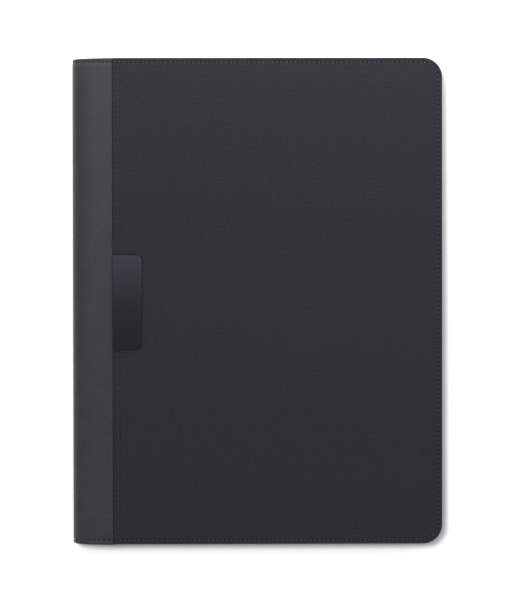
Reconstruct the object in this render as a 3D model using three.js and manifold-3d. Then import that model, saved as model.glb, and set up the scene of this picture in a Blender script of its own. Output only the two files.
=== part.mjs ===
// A closed padfolio lying on its back cover: two fabric-covered boards joined by a soft leather spine,
// with a writing pad, pockets and a pen loop inside. Millimetres, +Z up, +X from the spine to the fore edge,
// +Y to the head. The origin is the middle of the back cover's outer face.
import * as THREE from "three";
import { mergeVertices } from "three/addons/utils/BufferGeometryUtils.js";
import Module from "manifold-3d";

const wasm = await Module();
wasm.setup();

// Overall size, closed
const coverHeight = 317.5;
const closedWidth = 241.3;
const closedThickness = 19;
const cornerRadius = 12.7;

// Sheet thicknesses
const fabricThickness = 1.4;
const foldedFabricThickness = 1.0;
const leatherThickness = 0.9;
const leatherRecess = 0.5;
const boardThickness = 2.0;
const hemThickness = 0.7;
const liningThickness = 0.6;

// Widths of turned and lapped edges
const hemWidth = 12;
const lapWidth = 8;
const edgeRounding = 0.6;
const liningInset = 1.0;

// Spine
const spinePanelWidth = 26;
const spineReach = 14;
const creaseGap = 0.3;
const arcSteps = 10;

// Clearances
const layerGap = 0.05;
const seamGap = 0.1;

// Badge plate on the front cover
const badgeWidth = 19.1;
const badgeHeight = 62.8;
const badgeMiddleY = -0.8;
const badgeThickness = 0.9;
const badgeCorner = 4.3;
const badgeSpineCorner = 0.9;
const badgeBevel = 0.35;
const badgePostRadius = 1.0;
const badgePostDepth = 2.9;
const badgePostInset = 13;
const badgePostSpacing = 44;
const badgePostClearance = 0.1;

// Document pocket and card pockets inside the front cover
const pocketThickness = 0.6;
const pocketInset = 1.6;
const pocketSpineMargin = 4;
const pocketHeightAtSpine = 245;
const pocketHeightAtForeEdge = 214;
const pocketHemWidth = 9;
const pocketHemThickness = 0.4;
const cardPocketCount = 3;
const cardPocketWidth = 100;
const cardPocketHeight = 55;
const cardPocketStep = 14;
const cardPocketThickness = 0.5;
const cardPocketBase = 24;
const cardPocketCorner = 2.5;

// Writing pad and the sleeve that holds its backing board
const padSpineMargin = 20.4;
const padForeMargin = 5;
const padEndMargin = 9.525;
const paperThickness = 4.5;
const backingThickness = 0.7;
const tapeThickness = 0.2;
const tapeFrontWidth = 20;
const tapeBackWidth = 10;
const sleeveThickness = 0.6;
const sleeveSideClearance = 0.5;
const sleeveSpineFlange = 3.75;
const sleeveSlotHeight = 254;

// Pen loop
const penLoopLength = 26;
const penLoopThickness = 0.8;
const penLoopReachX = 5.3;
const penLoopReachZ = 4.4;
const penLoopPadGap = 5.6;
const penLoopTailThickness = 0.65;
const penLoopTailLength = 13;

// Places worked out from the sizes above
const foreX = closedWidth / 2;
const spineX = -closedWidth / 2;
const headY = coverHeight / 2;
const seamX = spineX + spinePanelWidth;
const flatX = spineX + spineReach;
const midZ = closedThickness / 2;
const spineBulge = midZ - leatherRecess;
const leatherHeadY = headY - leatherRecess;
const endWallY = headY - fabricThickness - layerGap;
const hemEdgeY = headY - fabricThickness - hemWidth;
const hemEdgeX = foreX - fabricThickness - hemWidth;
const creaseAngle = Math.atan2(spineBulge, spineReach);

// Depths below a cover's outer face
const boardOuter = fabricThickness + layerGap;
const boardInner = boardOuter + boardThickness;
const hemOuter = boardInner + layerGap;
const hemInner = hemOuter + hemThickness;
const liningOuter = hemOuter;
const liningInner = liningOuter + liningThickness;
const borderOuter = hemInner + layerGap;
const borderInner = borderOuter + liningThickness;

// The front cover is the back cover mirrored in the middle plane, so both are drawn by their depth.
const front = { name: "front", z: (depth) => closedThickness - depth };
const back = { name: "back", z: (depth) => depth };

// Solids

function solidOf(geometry) {
  const bare = geometry.clone();
  bare.deleteAttribute("normal");
  bare.deleteAttribute("uv");
  const merged = mergeVertices(bare, 1e-4);
  return new wasm.Manifold(
    new wasm.Mesh({
      numProp: 3,
      vertProperties: merged.attributes.position.array,
      triVerts: new Uint32Array(merged.index.array),
    }),
  );
}

function geometryOf(solid) {
  const mesh = solid.getMesh();
  const indexed = new THREE.BufferGeometry();
  indexed.setAttribute("position", new THREE.BufferAttribute(mesh.vertProperties, 3));
  indexed.setIndex(new THREE.BufferAttribute(mesh.triVerts, 1));
  const geometry = indexed.toNonIndexed();
  geometry.computeVertexNormals();
  return geometry;
}

function join(...solids) {
  return solids.reduce((whole, solid) => whole.add(solid));
}

// An outline in the XY plane, made solid between two depths below a cover's outer face.
function slab(shape, cover, depthA, depthB) {
  const low = Math.min(cover.z(depthA), cover.z(depthB));
  const geometry = new THREE.ExtrudeGeometry(shape, {
    depth: Math.abs(depthB - depthA),
    bevelEnabled: false,
    curveSegments: arcSteps,
  });
  return solidOf(geometry.translate(0, 0, low));
}

// The same with its outer corners rounded over.
function roundedSlab(shape, cover, depthA, depthB, rounding) {
  const low = Math.min(cover.z(depthA), cover.z(depthB));
  const geometry = new THREE.ExtrudeGeometry(shape, {
    depth: Math.abs(depthB - depthA) - 2 * rounding,
    bevelThickness: rounding,
    bevelSize: rounding,
    bevelOffset: -rounding,
    bevelSegments: 3,
    curveSegments: arcSteps,
  });
  return solidOf(geometry.translate(0, 0, low + rounding));
}

// A section in the XZ plane, made solid between two places along Y.
function alongY(points, lowY, highY) {
  const shape = new THREE.Shape(points.map(([x, z]) => new THREE.Vector2(x, z)));
  const geometry = new THREE.ExtrudeGeometry(shape, { depth: highY - lowY, bevelEnabled: false });
  return solidOf(geometry.rotateX(Math.PI / 2).translate(0, highY, 0));
}

// The same at the head and again at the tail, from one distance off the middle to another.
function atBothEnds(points, nearY, farY) {
  return join(alongY(points, nearY, farY), alongY(points, -farY, -nearY));
}

// A rectangle whose two fore-edge corners are rounded.
function coverOutline(leftX, rightX, halfHeight, radius) {
  const shape = new THREE.Shape();
  shape.moveTo(leftX, -halfHeight);
  shape.lineTo(rightX - radius, -halfHeight);
  shape.absarc(rightX - radius, -halfHeight + radius, radius, -Math.PI / 2, 0);
  shape.lineTo(rightX, halfHeight - radius);
  shape.absarc(rightX - radius, halfHeight - radius, radius, 0, Math.PI / 2);
  shape.lineTo(leftX, halfHeight);
  return shape;
}

function rectangle(leftX, rightX, lowY, highY) {
  const shape = new THREE.Shape();
  shape.moveTo(leftX, lowY);
  shape.lineTo(rightX, lowY);
  shape.lineTo(rightX, highY);
  shape.lineTo(leftX, highY);
  return shape;
}

// A rectangle with a radius of its own at the spine side and another at the fore-edge side.
function tabOutline(leftX, rightX, lowY, highY, leftRadius, rightRadius) {
  const shape = new THREE.Shape();
  shape.moveTo(leftX + leftRadius, lowY);
  shape.lineTo(rightX - rightRadius, lowY);
  shape.absarc(rightX - rightRadius, lowY + rightRadius, rightRadius, -Math.PI / 2, 0);
  shape.absarc(rightX - rightRadius, highY - rightRadius, rightRadius, 0, Math.PI / 2);
  shape.absarc(leftX + leftRadius, highY - leftRadius, leftRadius, Math.PI / 2, Math.PI);
  shape.absarc(leftX + leftRadius, lowY + leftRadius, leftRadius, Math.PI, 1.5 * Math.PI);
  return shape;
}

// A pin standing along Z.
function pin(x, y, radius, lowZ, highZ) {
  const geometry = new THREE.CylinderGeometry(radius, radius, highZ - lowZ, 16);
  return solidOf(geometry.rotateX(Math.PI / 2).translate(x, y, (lowZ + highZ) / 2));
}

// The spine's section is half an ellipse. This is its point at an angle, moved inwards by an inset,
// as a place along X and a height above the middle plane.
function spinePoint(angle, inset) {
  const normalX = -Math.cos(angle) / spineReach;
  const normalZ = Math.sin(angle) / spineBulge;
  const length = Math.hypot(normalX, normalZ);
  return [
    flatX - spineReach * Math.cos(angle) - (inset * normalX) / length,
    spineBulge * Math.sin(angle) - (inset * normalZ) / length,
  ];
}

// The share of the angle that half the crease's gap takes up.
function creaseHalfGap() {
  const step = 1e-3;
  const [x0, h0] = spinePoint(creaseAngle, 0);
  const [x1, h1] = spinePoint(creaseAngle + step, 0);
  return ((creaseGap / 2) * step) / Math.hypot(x1 - x0, h1 - h0);
}

// Points of the spine's curve from one angle to another, as seen on a cover.
function spineArc(cover, fromAngle, toAngle, inset) {
  const side = cover === front ? 1 : -1;
  return Array.from({ length: arcSteps + 1 }, (_, i) => {
    const angle = fromAngle + ((toAngle - fromAngle) * i) / arcSteps;
    const [x, height] = spinePoint(angle, inset);
    return [x, midZ + side * height];
  });
}

const coverArcStart = creaseAngle + creaseHalfGap();
const spineArcEnd = creaseAngle - creaseHalfGap();

// The curve of a cover's own stretch of leather or lining, from the crease to where it lies flat.
function coverArc(cover, inset) {
  return spineArc(cover, coverArcStart, Math.PI / 2, inset);
}

function atDepth(cover, points) {
  return points.map(([x, depth]) => [x, cover.z(depth)]);
}

// Pieces of one cover

// Bonded fabric wrapped over the board, with its edges turned in on three sides
// and its spine side folded thin where it laps over the leather.
function fabricPanel(cover) {
  const outline = coverOutline(seamX, foreX, headY, cornerRadius);
  const wall = fabricThickness;
  const chamber = coverOutline(spineX, foreX - wall, headY - wall, cornerRadius - wall);
  const hemOpening = rectangle(spineX, hemEdgeX, -hemEdgeY, hemEdgeY);
  const lap = rectangle(spineX, seamX + lapWidth + seamGap, -headY + wall, headY - wall);
  return roundedSlab(outline, cover, 0, hemInner, edgeRounding)
    .subtract(slab(chamber, cover, fabricThickness, hemOuter))
    .subtract(slab(hemOpening, cover, hemOuter - layerGap, hemInner + layerGap))
    .subtract(slab(lap, cover, foldedFabricThickness, boardOuter));
}

function coverBoard(cover) {
  const wall = fabricThickness + 2 * layerGap;
  const outline = coverOutline(flatX + hemThickness + layerGap, foreX - wall, headY - wall, cornerRadius - wall);
  return slab(outline, cover, boardOuter, boardInner);
}

// The cover's stretch of the spine leather: from the crease over the board's edge, under the fabric's lap.
// Its section changes where the hem is turned in and again where the leather closes the end.
function coverLeather(cover) {
  const outerArc = coverArc(cover, 0);
  const innerArc = coverArc(cover, leatherThickness);
  const hemArc = coverArc(cover, leatherThickness + hemThickness);
  const shownEndX = seamX - seamGap;
  const tongueOuter = foldedFabricThickness + layerGap;
  const tongueEndX = seamX + lapWidth;

  const shownEdge = atDepth(cover, [
    [shownEndX, leatherRecess],
    [shownEndX, tongueOuter],
    [tongueEndX, tongueOuter],
    [tongueEndX, fabricThickness],
  ]);
  const unhemmed = [...outerArc, ...shownEdge, ...innerArc.toReversed()];
  const hemmed = [
    ...outerArc,
    ...shownEdge,
    ...atDepth(cover, [
      [flatX + hemThickness, fabricThickness],
      [flatX + hemThickness, hemOuter],
      [shownEndX, hemOuter],
      [shownEndX, hemInner],
      [flatX, hemInner],
    ]),
    ...hemArc.toReversed(),
  ];
  const end = [
    ...outerArc,
    ...atDepth(cover, [[shownEndX, leatherRecess], [shownEndX, hemInner], [flatX, hemInner]]),
    ...hemArc.toReversed(),
  ];
  return join(
    alongY(unhemmed, -hemEdgeY, hemEdgeY),
    atBothEnds(hemmed, hemEdgeY, endWallY),
    atBothEnds(end, endWallY, leatherHeadY),
  );
}

// The section of the lining where it lies on the board, and where it lies on the turned edges.
function liningSections(cover) {
  const middleInset = leatherThickness + layerGap;
  const borderInset = leatherThickness + hemThickness + 2 * layerGap;
  const riserX = flatX + layerGap;
  const borderRiserX = flatX - layerGap;
  const foreRiserX = hemEdgeX - layerGap;
  const foreEndX = foreX - liningInset;
  const thick = liningThickness;
  const middleOuter = [
    ...coverArc(cover, middleInset),
    ...atDepth(cover, [
      [riserX + thick, leatherRecess + middleInset],
      [riserX + thick, liningOuter],
      [foreRiserX, liningOuter],
      [foreRiserX, borderOuter],
      [foreEndX, borderOuter],
    ]),
  ];
  const middleInner = [
    ...coverArc(cover, middleInset + thick),
    ...atDepth(cover, [
      [riserX, leatherRecess + middleInset + thick],
      [riserX, liningInner],
      [foreRiserX - thick, liningInner],
      [foreRiserX - thick, borderInner],
      [foreEndX, borderInner],
    ]),
  ];
  const borderArc = coverArc(cover, borderInset).slice(0, -1);
  const borderArcInner = coverArc(cover, borderInset + thick).slice(0, -1);
  const borderOuterLine = [
    ...borderArc,
    ...atDepth(cover, [
      [borderRiserX, leatherRecess + borderInset],
      [borderRiserX, borderOuter],
      [foreEndX, borderOuter],
    ]),
  ];
  const borderInnerLine = [
    ...borderArcInner,
    ...atDepth(cover, [
      [borderRiserX - thick, leatherRecess + borderInset + thick],
      [borderRiserX - thick, borderInner],
      [foreEndX, borderInner],
    ]),
  ];
  return { middleOuter, middleInner, borderOuterLine, borderInnerLine };
}

// Thin lining over the inside of a cover, stepping over the turned edges.
function coverLining(cover) {
  const { middleOuter, middleInner, borderOuterLine, borderInnerLine } = liningSections(cover);
  const stepEndY = hemEdgeY - layerGap;
  const stepStartY = stepEndY - liningThickness;
  const endY = headY - liningInset;
  const outline = coverOutline(spineX, foreX - liningInset, endY, cornerRadius - liningInset);
  const border = atBothEnds([...borderOuterLine, ...borderInnerLine.toReversed()], stepEndY, endY);
  return join(
    alongY([...middleOuter, ...middleInner.toReversed()], -stepStartY, stepStartY),
    atBothEnds([...middleOuter, ...borderInnerLine.toReversed()], stepStartY, stepEndY),
    border.intersect(slab(outline, cover, 0, closedThickness)),
  );
}

// The spine between its two creases

function spineBand(outerInset, innerInset) {
  return [
    ...spineArc(front, -spineArcEnd, spineArcEnd, outerInset),
    ...spineArc(front, -spineArcEnd, spineArcEnd, innerInset).toReversed(),
  ];
}

function spineLeather() {
  const hemInset = leatherThickness + hemThickness;
  return join(
    alongY(spineBand(0, leatherThickness), -hemEdgeY, hemEdgeY),
    atBothEnds(spineBand(0, hemInset), hemEdgeY, leatherHeadY),
  );
}

function spineLining() {
  const middleInset = leatherThickness + layerGap;
  const borderInset = leatherThickness + hemThickness + 2 * layerGap;
  const stepEndY = hemEdgeY - layerGap;
  const stepStartY = stepEndY - liningThickness;
  return join(
    alongY(spineBand(middleInset, middleInset + liningThickness), -stepStartY, stepStartY),
    atBothEnds(spineBand(middleInset, borderInset + liningThickness), stepStartY, stepEndY),
    atBothEnds(spineBand(borderInset, borderInset + liningThickness), stepEndY, headY - liningInset),
  );
}

// The badge plate and its two posts, which pass through the fabric into the board

const badgePostX = seamX + badgePostInset;

function badgePosts(radius, lowZ, highZ) {
  const lowY = badgeMiddleY - badgePostSpacing / 2;
  const highY = badgeMiddleY + badgePostSpacing / 2;
  return join(pin(badgePostX, lowY, radius, lowZ, highZ), pin(badgePostX, highY, radius, lowZ, highZ));
}

function badgePostHoles() {
  return badgePosts(badgePostRadius + badgePostClearance, midZ, closedThickness + badgeThickness);
}

function badgePlate() {
  const outline = tabOutline(
    seamX,
    seamX + badgeWidth,
    badgeMiddleY - badgeHeight / 2,
    badgeMiddleY + badgeHeight / 2,
    badgeSpineCorner,
    badgeCorner,
  );
  const top = -(layerGap + badgeThickness);
  const plate = roundedSlab(outline, front, top, -layerGap, badgeBevel);
  const posts = badgePosts(
    badgePostRadius,
    closedThickness - badgePostDepth,
    closedThickness + badgeThickness / 2,
  );
  return join(plate, posts);
}

// Pockets inside the front cover

const pocketOuter = borderInner + layerGap;
const pocketInner = pocketOuter + pocketThickness;
const pocketBaseY = -headY + pocketInset;
const pocketLeftX = flatX + pocketSpineMargin;
const pocketRightX = foreX - pocketInset;

// The height of the pocket's slanted mouth at a place along X.
function pocketMouthY(x) {
  const share = (x - pocketLeftX) / (pocketRightX - pocketLeftX);
  return pocketBaseY + pocketHeightAtSpine + share * (pocketHeightAtForeEdge - pocketHeightAtSpine);
}

function documentPocket() {
  const radius = cornerRadius - pocketInset;
  const sheet = new THREE.Shape();
  sheet.moveTo(pocketLeftX, pocketBaseY);
  sheet.lineTo(pocketRightX - radius, pocketBaseY);
  sheet.absarc(pocketRightX - radius, pocketBaseY + radius, radius, -Math.PI / 2, 0);
  sheet.lineTo(pocketRightX, pocketMouthY(pocketRightX));
  sheet.lineTo(pocketLeftX, pocketMouthY(pocketLeftX));
  const hem = new THREE.Shape();
  hem.moveTo(pocketLeftX, pocketMouthY(pocketLeftX) - pocketHemWidth);
  hem.lineTo(pocketRightX, pocketMouthY(pocketRightX) - pocketHemWidth);
  hem.lineTo(pocketRightX, pocketMouthY(pocketRightX));
  hem.lineTo(pocketLeftX, pocketMouthY(pocketLeftX));
  return join(
    slab(sheet, front, pocketOuter, pocketInner),
    slab(hem, front, pocketOuter, pocketInner + pocketHemThickness),
  );
}

// Card pockets lie on each other like shingles, the tallest against the document pocket.
function cardPocket(index) {
  const middleX = (pocketLeftX + pocketRightX) / 2;
  const baseY = -headY + cardPocketBase;
  const height = cardPocketHeight + cardPocketStep * (cardPocketCount - 1 - index);
  const outer = pocketInner + layerGap + index * (cardPocketThickness + layerGap);
  const outline = tabOutline(
    middleX - cardPocketWidth / 2,
    middleX + cardPocketWidth / 2,
    baseY,
    baseY + height,
    cardPocketCorner,
    cardPocketCorner,
  );
  return slab(outline, front, outer, outer + cardPocketThickness);
}

// Writing pad, from the lining up: tape, backing board, sleeve, paper, tape

const padLeftX = spineX + padSpineMargin;
const padRightX = foreX - padForeMargin;
const padHeadY = headY - padEndMargin;
const tapeLow = borderInner + layerGap;
const backingLow = tapeLow + tapeThickness + layerGap;
const backingHigh = backingLow + backingThickness;
const sleeveLow = backingHigh + layerGap;
const sleeveHigh = sleeveLow + sleeveThickness;
const paperLow = sleeveHigh + layerGap;
const paperHigh = paperLow + paperThickness;
const tapeHigh = paperHigh + layerGap + tapeThickness;

function padBackingBoard() {
  return slab(rectangle(padLeftX, padRightX, -padHeadY, padHeadY), back, backingLow, backingHigh);
}

function padPaper() {
  return slab(rectangle(padLeftX, padRightX, -padHeadY, padHeadY), back, paperLow, paperHigh);
}

function padBindingTape() {
  const wallY = padHeadY + layerGap;
  const outerY = wallY + tapeThickness;
  return join(
    slab(rectangle(padLeftX, padRightX, outerY - tapeBackWidth, outerY), back, tapeLow, tapeLow + tapeThickness),
    slab(rectangle(padLeftX, padRightX, wallY, outerY), back, tapeLow, tapeHigh),
    slab(rectangle(padLeftX, padRightX, outerY - tapeFrontWidth, outerY), back, tapeHigh - tapeThickness, tapeHigh),
  );
}

// The sleeve is sewn down round three sides. The backing board slides under it from the head.
function padSleeve() {
  const leftX = padLeftX - sleeveSideClearance - sleeveSpineFlange;
  const rightX = foreX - pocketInset;
  const lowY = -headY + pocketInset;
  const highY = lowY + sleeveSlotHeight;
  const radius = cornerRadius - pocketInset;
  const outline = new THREE.Shape();
  outline.moveTo(leftX, lowY);
  outline.lineTo(rightX - radius, lowY);
  outline.absarc(rightX - radius, lowY + radius, radius, -Math.PI / 2, 0);
  outline.lineTo(rightX, highY);
  outline.lineTo(leftX, highY);
  const room = rectangle(
    padLeftX - sleeveSideClearance,
    padRightX + sleeveSideClearance,
    -padHeadY - sleeveSideClearance,
    headY,
  );
  return slab(outline, back, tapeLow, sleeveHigh).subtract(slab(room, back, 0, sleeveLow));
}

// An elastic loop at the spine side, its tail sewn to the lining under the sleeve's edge
function penLoop() {
  const middleX = padLeftX - sleeveSideClearance - sleeveSpineFlange - penLoopPadGap - layerGap;
  const tailLow = liningInner + layerGap;
  const middleHeight = tailLow + penLoopTailThickness + penLoopReachZ - penLoopThickness / 2;
  const ring = (reachX, reachZ) =>
    new THREE.EllipseCurve(middleX, middleHeight, reachX, reachZ).getPoints(24).slice(0, -1);
  const half = penLoopLength / 2;
  const points = (curve) => curve.map((p) => [p.x, p.y]);
  const outside = alongY(points(ring(penLoopReachX, penLoopReachZ)), -half, half);
  const inside = alongY(
    points(ring(penLoopReachX - penLoopThickness, penLoopReachZ - penLoopThickness)),
    -half - 1,
    half + 1,
  );
  const tail = slab(rectangle(middleX, middleX + penLoopTailLength, -half, half), back, tailLow, tailLow + penLoopTailThickness);
  return join(outside, tail).subtract(inside);
}

// Materials

function material(color, roughness, metalness = 0) {
  return new THREE.MeshStandardMaterial({ color, roughness, metalness });
}

const fabric = material(0x33343a, 0.85);
const leather = material(0x44454a, 0.5);
const lining = material(0x3a3b40, 0.7);
const greyboard = material(0x8f8a80, 0.9);
const plateMetal = material(0x34353b, 0.3, 0.9);
const paper = material(0xf3f0e6, 0.9);
const kraft = material(0xa58f6c, 0.9);
const tape = material(0x26272b, 0.6);
const elastic = material(0x232428, 0.8);

const part = new THREE.Group();

function add(name, solid, finish) {
  const mesh = new THREE.Mesh(geometryOf(solid), finish);
  mesh.name = name;
  part.add(mesh);
}

add("back_fabric", fabricPanel(back), fabric);
add("back_board", coverBoard(back), greyboard);
add("back_leather", coverLeather(back), leather);
add("back_lining", coverLining(back), lining);
add("spine_leather", spineLeather(), leather);
add("spine_lining", spineLining(), lining);
add("front_fabric", fabricPanel(front).subtract(badgePostHoles()), fabric);
add("front_board", coverBoard(front).subtract(badgePostHoles()), greyboard);
add("front_leather", coverLeather(front), leather);
add("front_lining", coverLining(front), lining);
add("badge_plate", badgePlate(), plateMetal);
add("document_pocket", documentPocket(), lining);
for (let i = 0; i < cardPocketCount; i++) {
  add(`card_pocket_${i + 1}`, cardPocket(i), lining);
}
add("pad_backing_board", padBackingBoard(), kraft);
add("pad_paper", padPaper(), paper);
add("pad_binding_tape", padBindingTape(), tape);
add("pad_sleeve", padSleeve(), lining);
add("pen_loop", penLoop(), elastic);

export default part;
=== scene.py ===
"""Looks of a closed padfolio: two fabric-covered boards, a soft leather spine and a dark metal tab.

Sizes that the frame holds are read from it. The others are named here, in metres.
"""

import math
from functools import cache

import bpy
import numpy as np
from mathutils import Matrix, Vector


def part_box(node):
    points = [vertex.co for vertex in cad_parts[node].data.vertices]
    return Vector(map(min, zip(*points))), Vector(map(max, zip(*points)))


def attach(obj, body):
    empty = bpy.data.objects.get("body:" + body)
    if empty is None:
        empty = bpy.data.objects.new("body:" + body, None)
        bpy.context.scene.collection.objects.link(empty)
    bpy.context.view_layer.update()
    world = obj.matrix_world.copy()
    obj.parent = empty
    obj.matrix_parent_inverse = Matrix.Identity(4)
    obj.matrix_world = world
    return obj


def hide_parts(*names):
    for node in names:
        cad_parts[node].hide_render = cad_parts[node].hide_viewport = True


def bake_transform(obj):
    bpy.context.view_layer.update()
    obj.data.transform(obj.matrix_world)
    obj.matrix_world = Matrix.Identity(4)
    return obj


MM = 0.001

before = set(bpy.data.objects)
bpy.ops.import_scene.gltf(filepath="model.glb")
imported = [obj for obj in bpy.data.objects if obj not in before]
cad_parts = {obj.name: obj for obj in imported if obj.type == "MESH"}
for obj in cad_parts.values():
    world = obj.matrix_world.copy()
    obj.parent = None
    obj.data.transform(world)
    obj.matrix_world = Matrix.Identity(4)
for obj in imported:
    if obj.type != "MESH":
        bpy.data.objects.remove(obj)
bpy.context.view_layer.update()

# The cover's outline and levels, from the frame
PANEL_LOW, PANEL_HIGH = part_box("front_fabric")
SEAM_X = PANEL_LOW.x
FORE_X = PANEL_HIGH.x
HEAD_Y = PANEL_HIGH.y
TOP_Z = PANEL_HIGH.z
MID_Z = TOP_Z / 2
SPINE_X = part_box("spine_leather")[0].x
WRAP_DEPTH = PANEL_HIGH.z - PANEL_LOW.z
BOARD_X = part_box("front_board")[0].x
CORNER_RADIUS = 12.7 * MM

# The spine's half ellipse
SPINE_REACH = 14 * MM
FLAT_X = SPINE_X + SPINE_REACH
LEATHER_RECESS = 0.5 * MM
SPINE_BULGE = MID_Z - LEATHER_RECESS
SPINE_HEM_DEPTH = 1.6 * MM

# Stitching. FINE is the size of the inner seams' and the fold's thread beside that of the edges
STITCH_INSET = 2.75 * MM
FOLD_GAP = 0.5 * MM
SEAM_INSET = FOLD_GAP + 3.0 * MM
EDGE_PITCH = 3.05 * MM
SEAM_PITCH = 3.7 * MM
INNER_PITCH = 3.0 * MM
STATIONS_A_STITCH = 4
THREAD_RADIUS = 0.27 * MM
FINE = 0.75
GROOVE_DEPTH = 0.3 * MM
HOLE_DEPTH = 0.12 * MM
THREAD_DEPTH = GROOVE_DEPTH + 0.6 * HOLE_DEPTH

# The lining: its depth below a cover's outer face, below the leather's face at the spine, and its thread's
LINING_DEPTH = 4.1 * MM
GUSSET_DEPTH = 1.55 * MM
LINING_THREAD = 0.42 * MM
LINING_JOIN_X = FLAT_X + 3 * MM


def smooth(t):
    """An even step from 0 to 1 that starts and ends level."""
    t = np.clip(t, 0, 1)
    return t * t * (3 - 2 * t)


class Cover:
    """One cover: how deep below its outer face a point lies, and which way its outer face looks."""

    def __init__(self, name, body, side):
        self.name = name
        self.body = body
        self.side = side

    def z(self, depth):
        """The height of a point so deep below the outer face."""
        return TOP_Z - depth if self.side > 0 else depth


FRONT = Cover("front", "front_cover", 1)
BACK = Cover("back", "back_cover", -1)


def add_object(name, data):
    """A new object in the scene."""
    made = bpy.data.objects.new(name, data)
    bpy.context.scene.collection.objects.link(made)
    return made


class Build:
    """Collects faces for one mesh."""

    def __init__(self):
        self.points, self.uvs, self.faces, self.finishes = [], [], [], []
        self.count = 0

    def add(self, points, uvs, faces, finish=0, flip=False):
        """Adds faces between new points, each with a place on the cut sheet."""
        points = np.asarray(points, float).reshape(-1, 3)
        self.points.append(points)
        self.uvs.append(np.asarray(uvs, float).reshape(-1, 2))
        for face in faces:
            face = [self.count + int(i) for i in face]
            self.faces.append(face[::-1] if flip else face)
            self.finishes.append(finish)
        self.count += len(points)

    def grid(self, points, uvs=None, closed=(False, False), cap=None, finish=0, flip=False):
        """Points in rows and columns. cap closes the first row, the last row or both with one face each.

        Without uvs, each point's place on the sheet is where it is seen from above.
        """
        points = np.asarray(points, float)
        uvs = points[:, :, :2] if uvs is None else uvs
        rows, columns = points.shape[:2]
        faces = []
        for r in range(rows if closed[0] else rows - 1):
            for c in range(columns if closed[1] else columns - 1):
                r2, c2 = (r + 1) % rows, (c + 1) % columns
                faces.append((r * columns + c, r * columns + c2, r2 * columns + c2, r2 * columns + c))
        if cap in ("last", "both"):
            faces.append([(rows - 1) * columns + c for c in range(columns)])
        if cap in ("first", "both"):
            faces.append([c for c in reversed(range(columns))])
        self.add(points, uvs, faces, finish, flip)

    def make(self, name, finishes, sharp_deg=50):
        """The mesh as an object, smooth but for the edges that turn by more than an angle."""
        mesh = bpy.data.meshes.new(name)
        mesh.from_pydata(np.concatenate(self.points).tolist(), [], self.faces)
        uvs = np.concatenate(self.uvs)
        corners = np.zeros(len(mesh.loops), np.int32)
        mesh.loops.foreach_get("vertex_index", corners)
        layer = mesh.uv_layers.new(name="cut")
        layer.data.foreach_set("uv", uvs[corners].astype(np.float32).ravel())
        for finish in finishes:
            mesh.materials.append(finish)
        mesh.polygons.foreach_set("material_index", np.array(self.finishes, np.int32))
        mesh.polygons.foreach_set("use_smooth", np.ones(len(mesh.polygons), bool))
        mesh.set_sharp_from_angle(angle=math.radians(sharp_deg))
        mesh.update()
        return add_object(name, mesh)


def rolled_edge(depth, outer_radius, inner_radius, hem, groove, flat):
    """Across a turned edge, from the hem's end round to the flat face.

    Gives insets, depths, the same insets as if the sheet were unrolled, and how much of the stitches'
    dimples each place takes.
    """
    turn = np.radians(np.linspace(0, 90, 6))
    points = [(hem, depth), (hem / 2, depth)]
    points += [(inner_radius * (1 - math.sin(a)), depth - inner_radius * (1 - math.cos(a))) for a in turn]
    points += [(outer_radius * (1 - math.cos(a)), outer_radius * (1 - math.sin(a))) for a in turn]
    wide, narrow = 0.95 * MM, 0.5 * MM
    dimples = [0.0] * len(points) + [0, 0.6, 1, 0.6, 0, 0]
    points += [
        (groove - wide, 0),
        (groove - narrow, GROOVE_DEPTH * 0.9),
        (groove, GROOVE_DEPTH),
        (groove + narrow, GROOVE_DEPTH * 0.9),
        (groove + wide, 0),
        (flat, 0),
    ]
    points = np.array(points)
    steps = np.hypot(*np.diff(points, axis=0).T)
    unrolled = flat - np.append(np.cumsum(steps[::-1])[::-1], 0)
    return points[:, 0], points[:, 1], unrolled, np.array(dimples)


def dimple(station):
    """The depth that a stitch adds to its groove at a station along it: most at a hole, least half-way."""
    phase = 2 * math.pi * (station % STATIONS_A_STITCH) / STATIONS_A_STITCH
    return HOLE_DEPTH * math.cos(phase)


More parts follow.
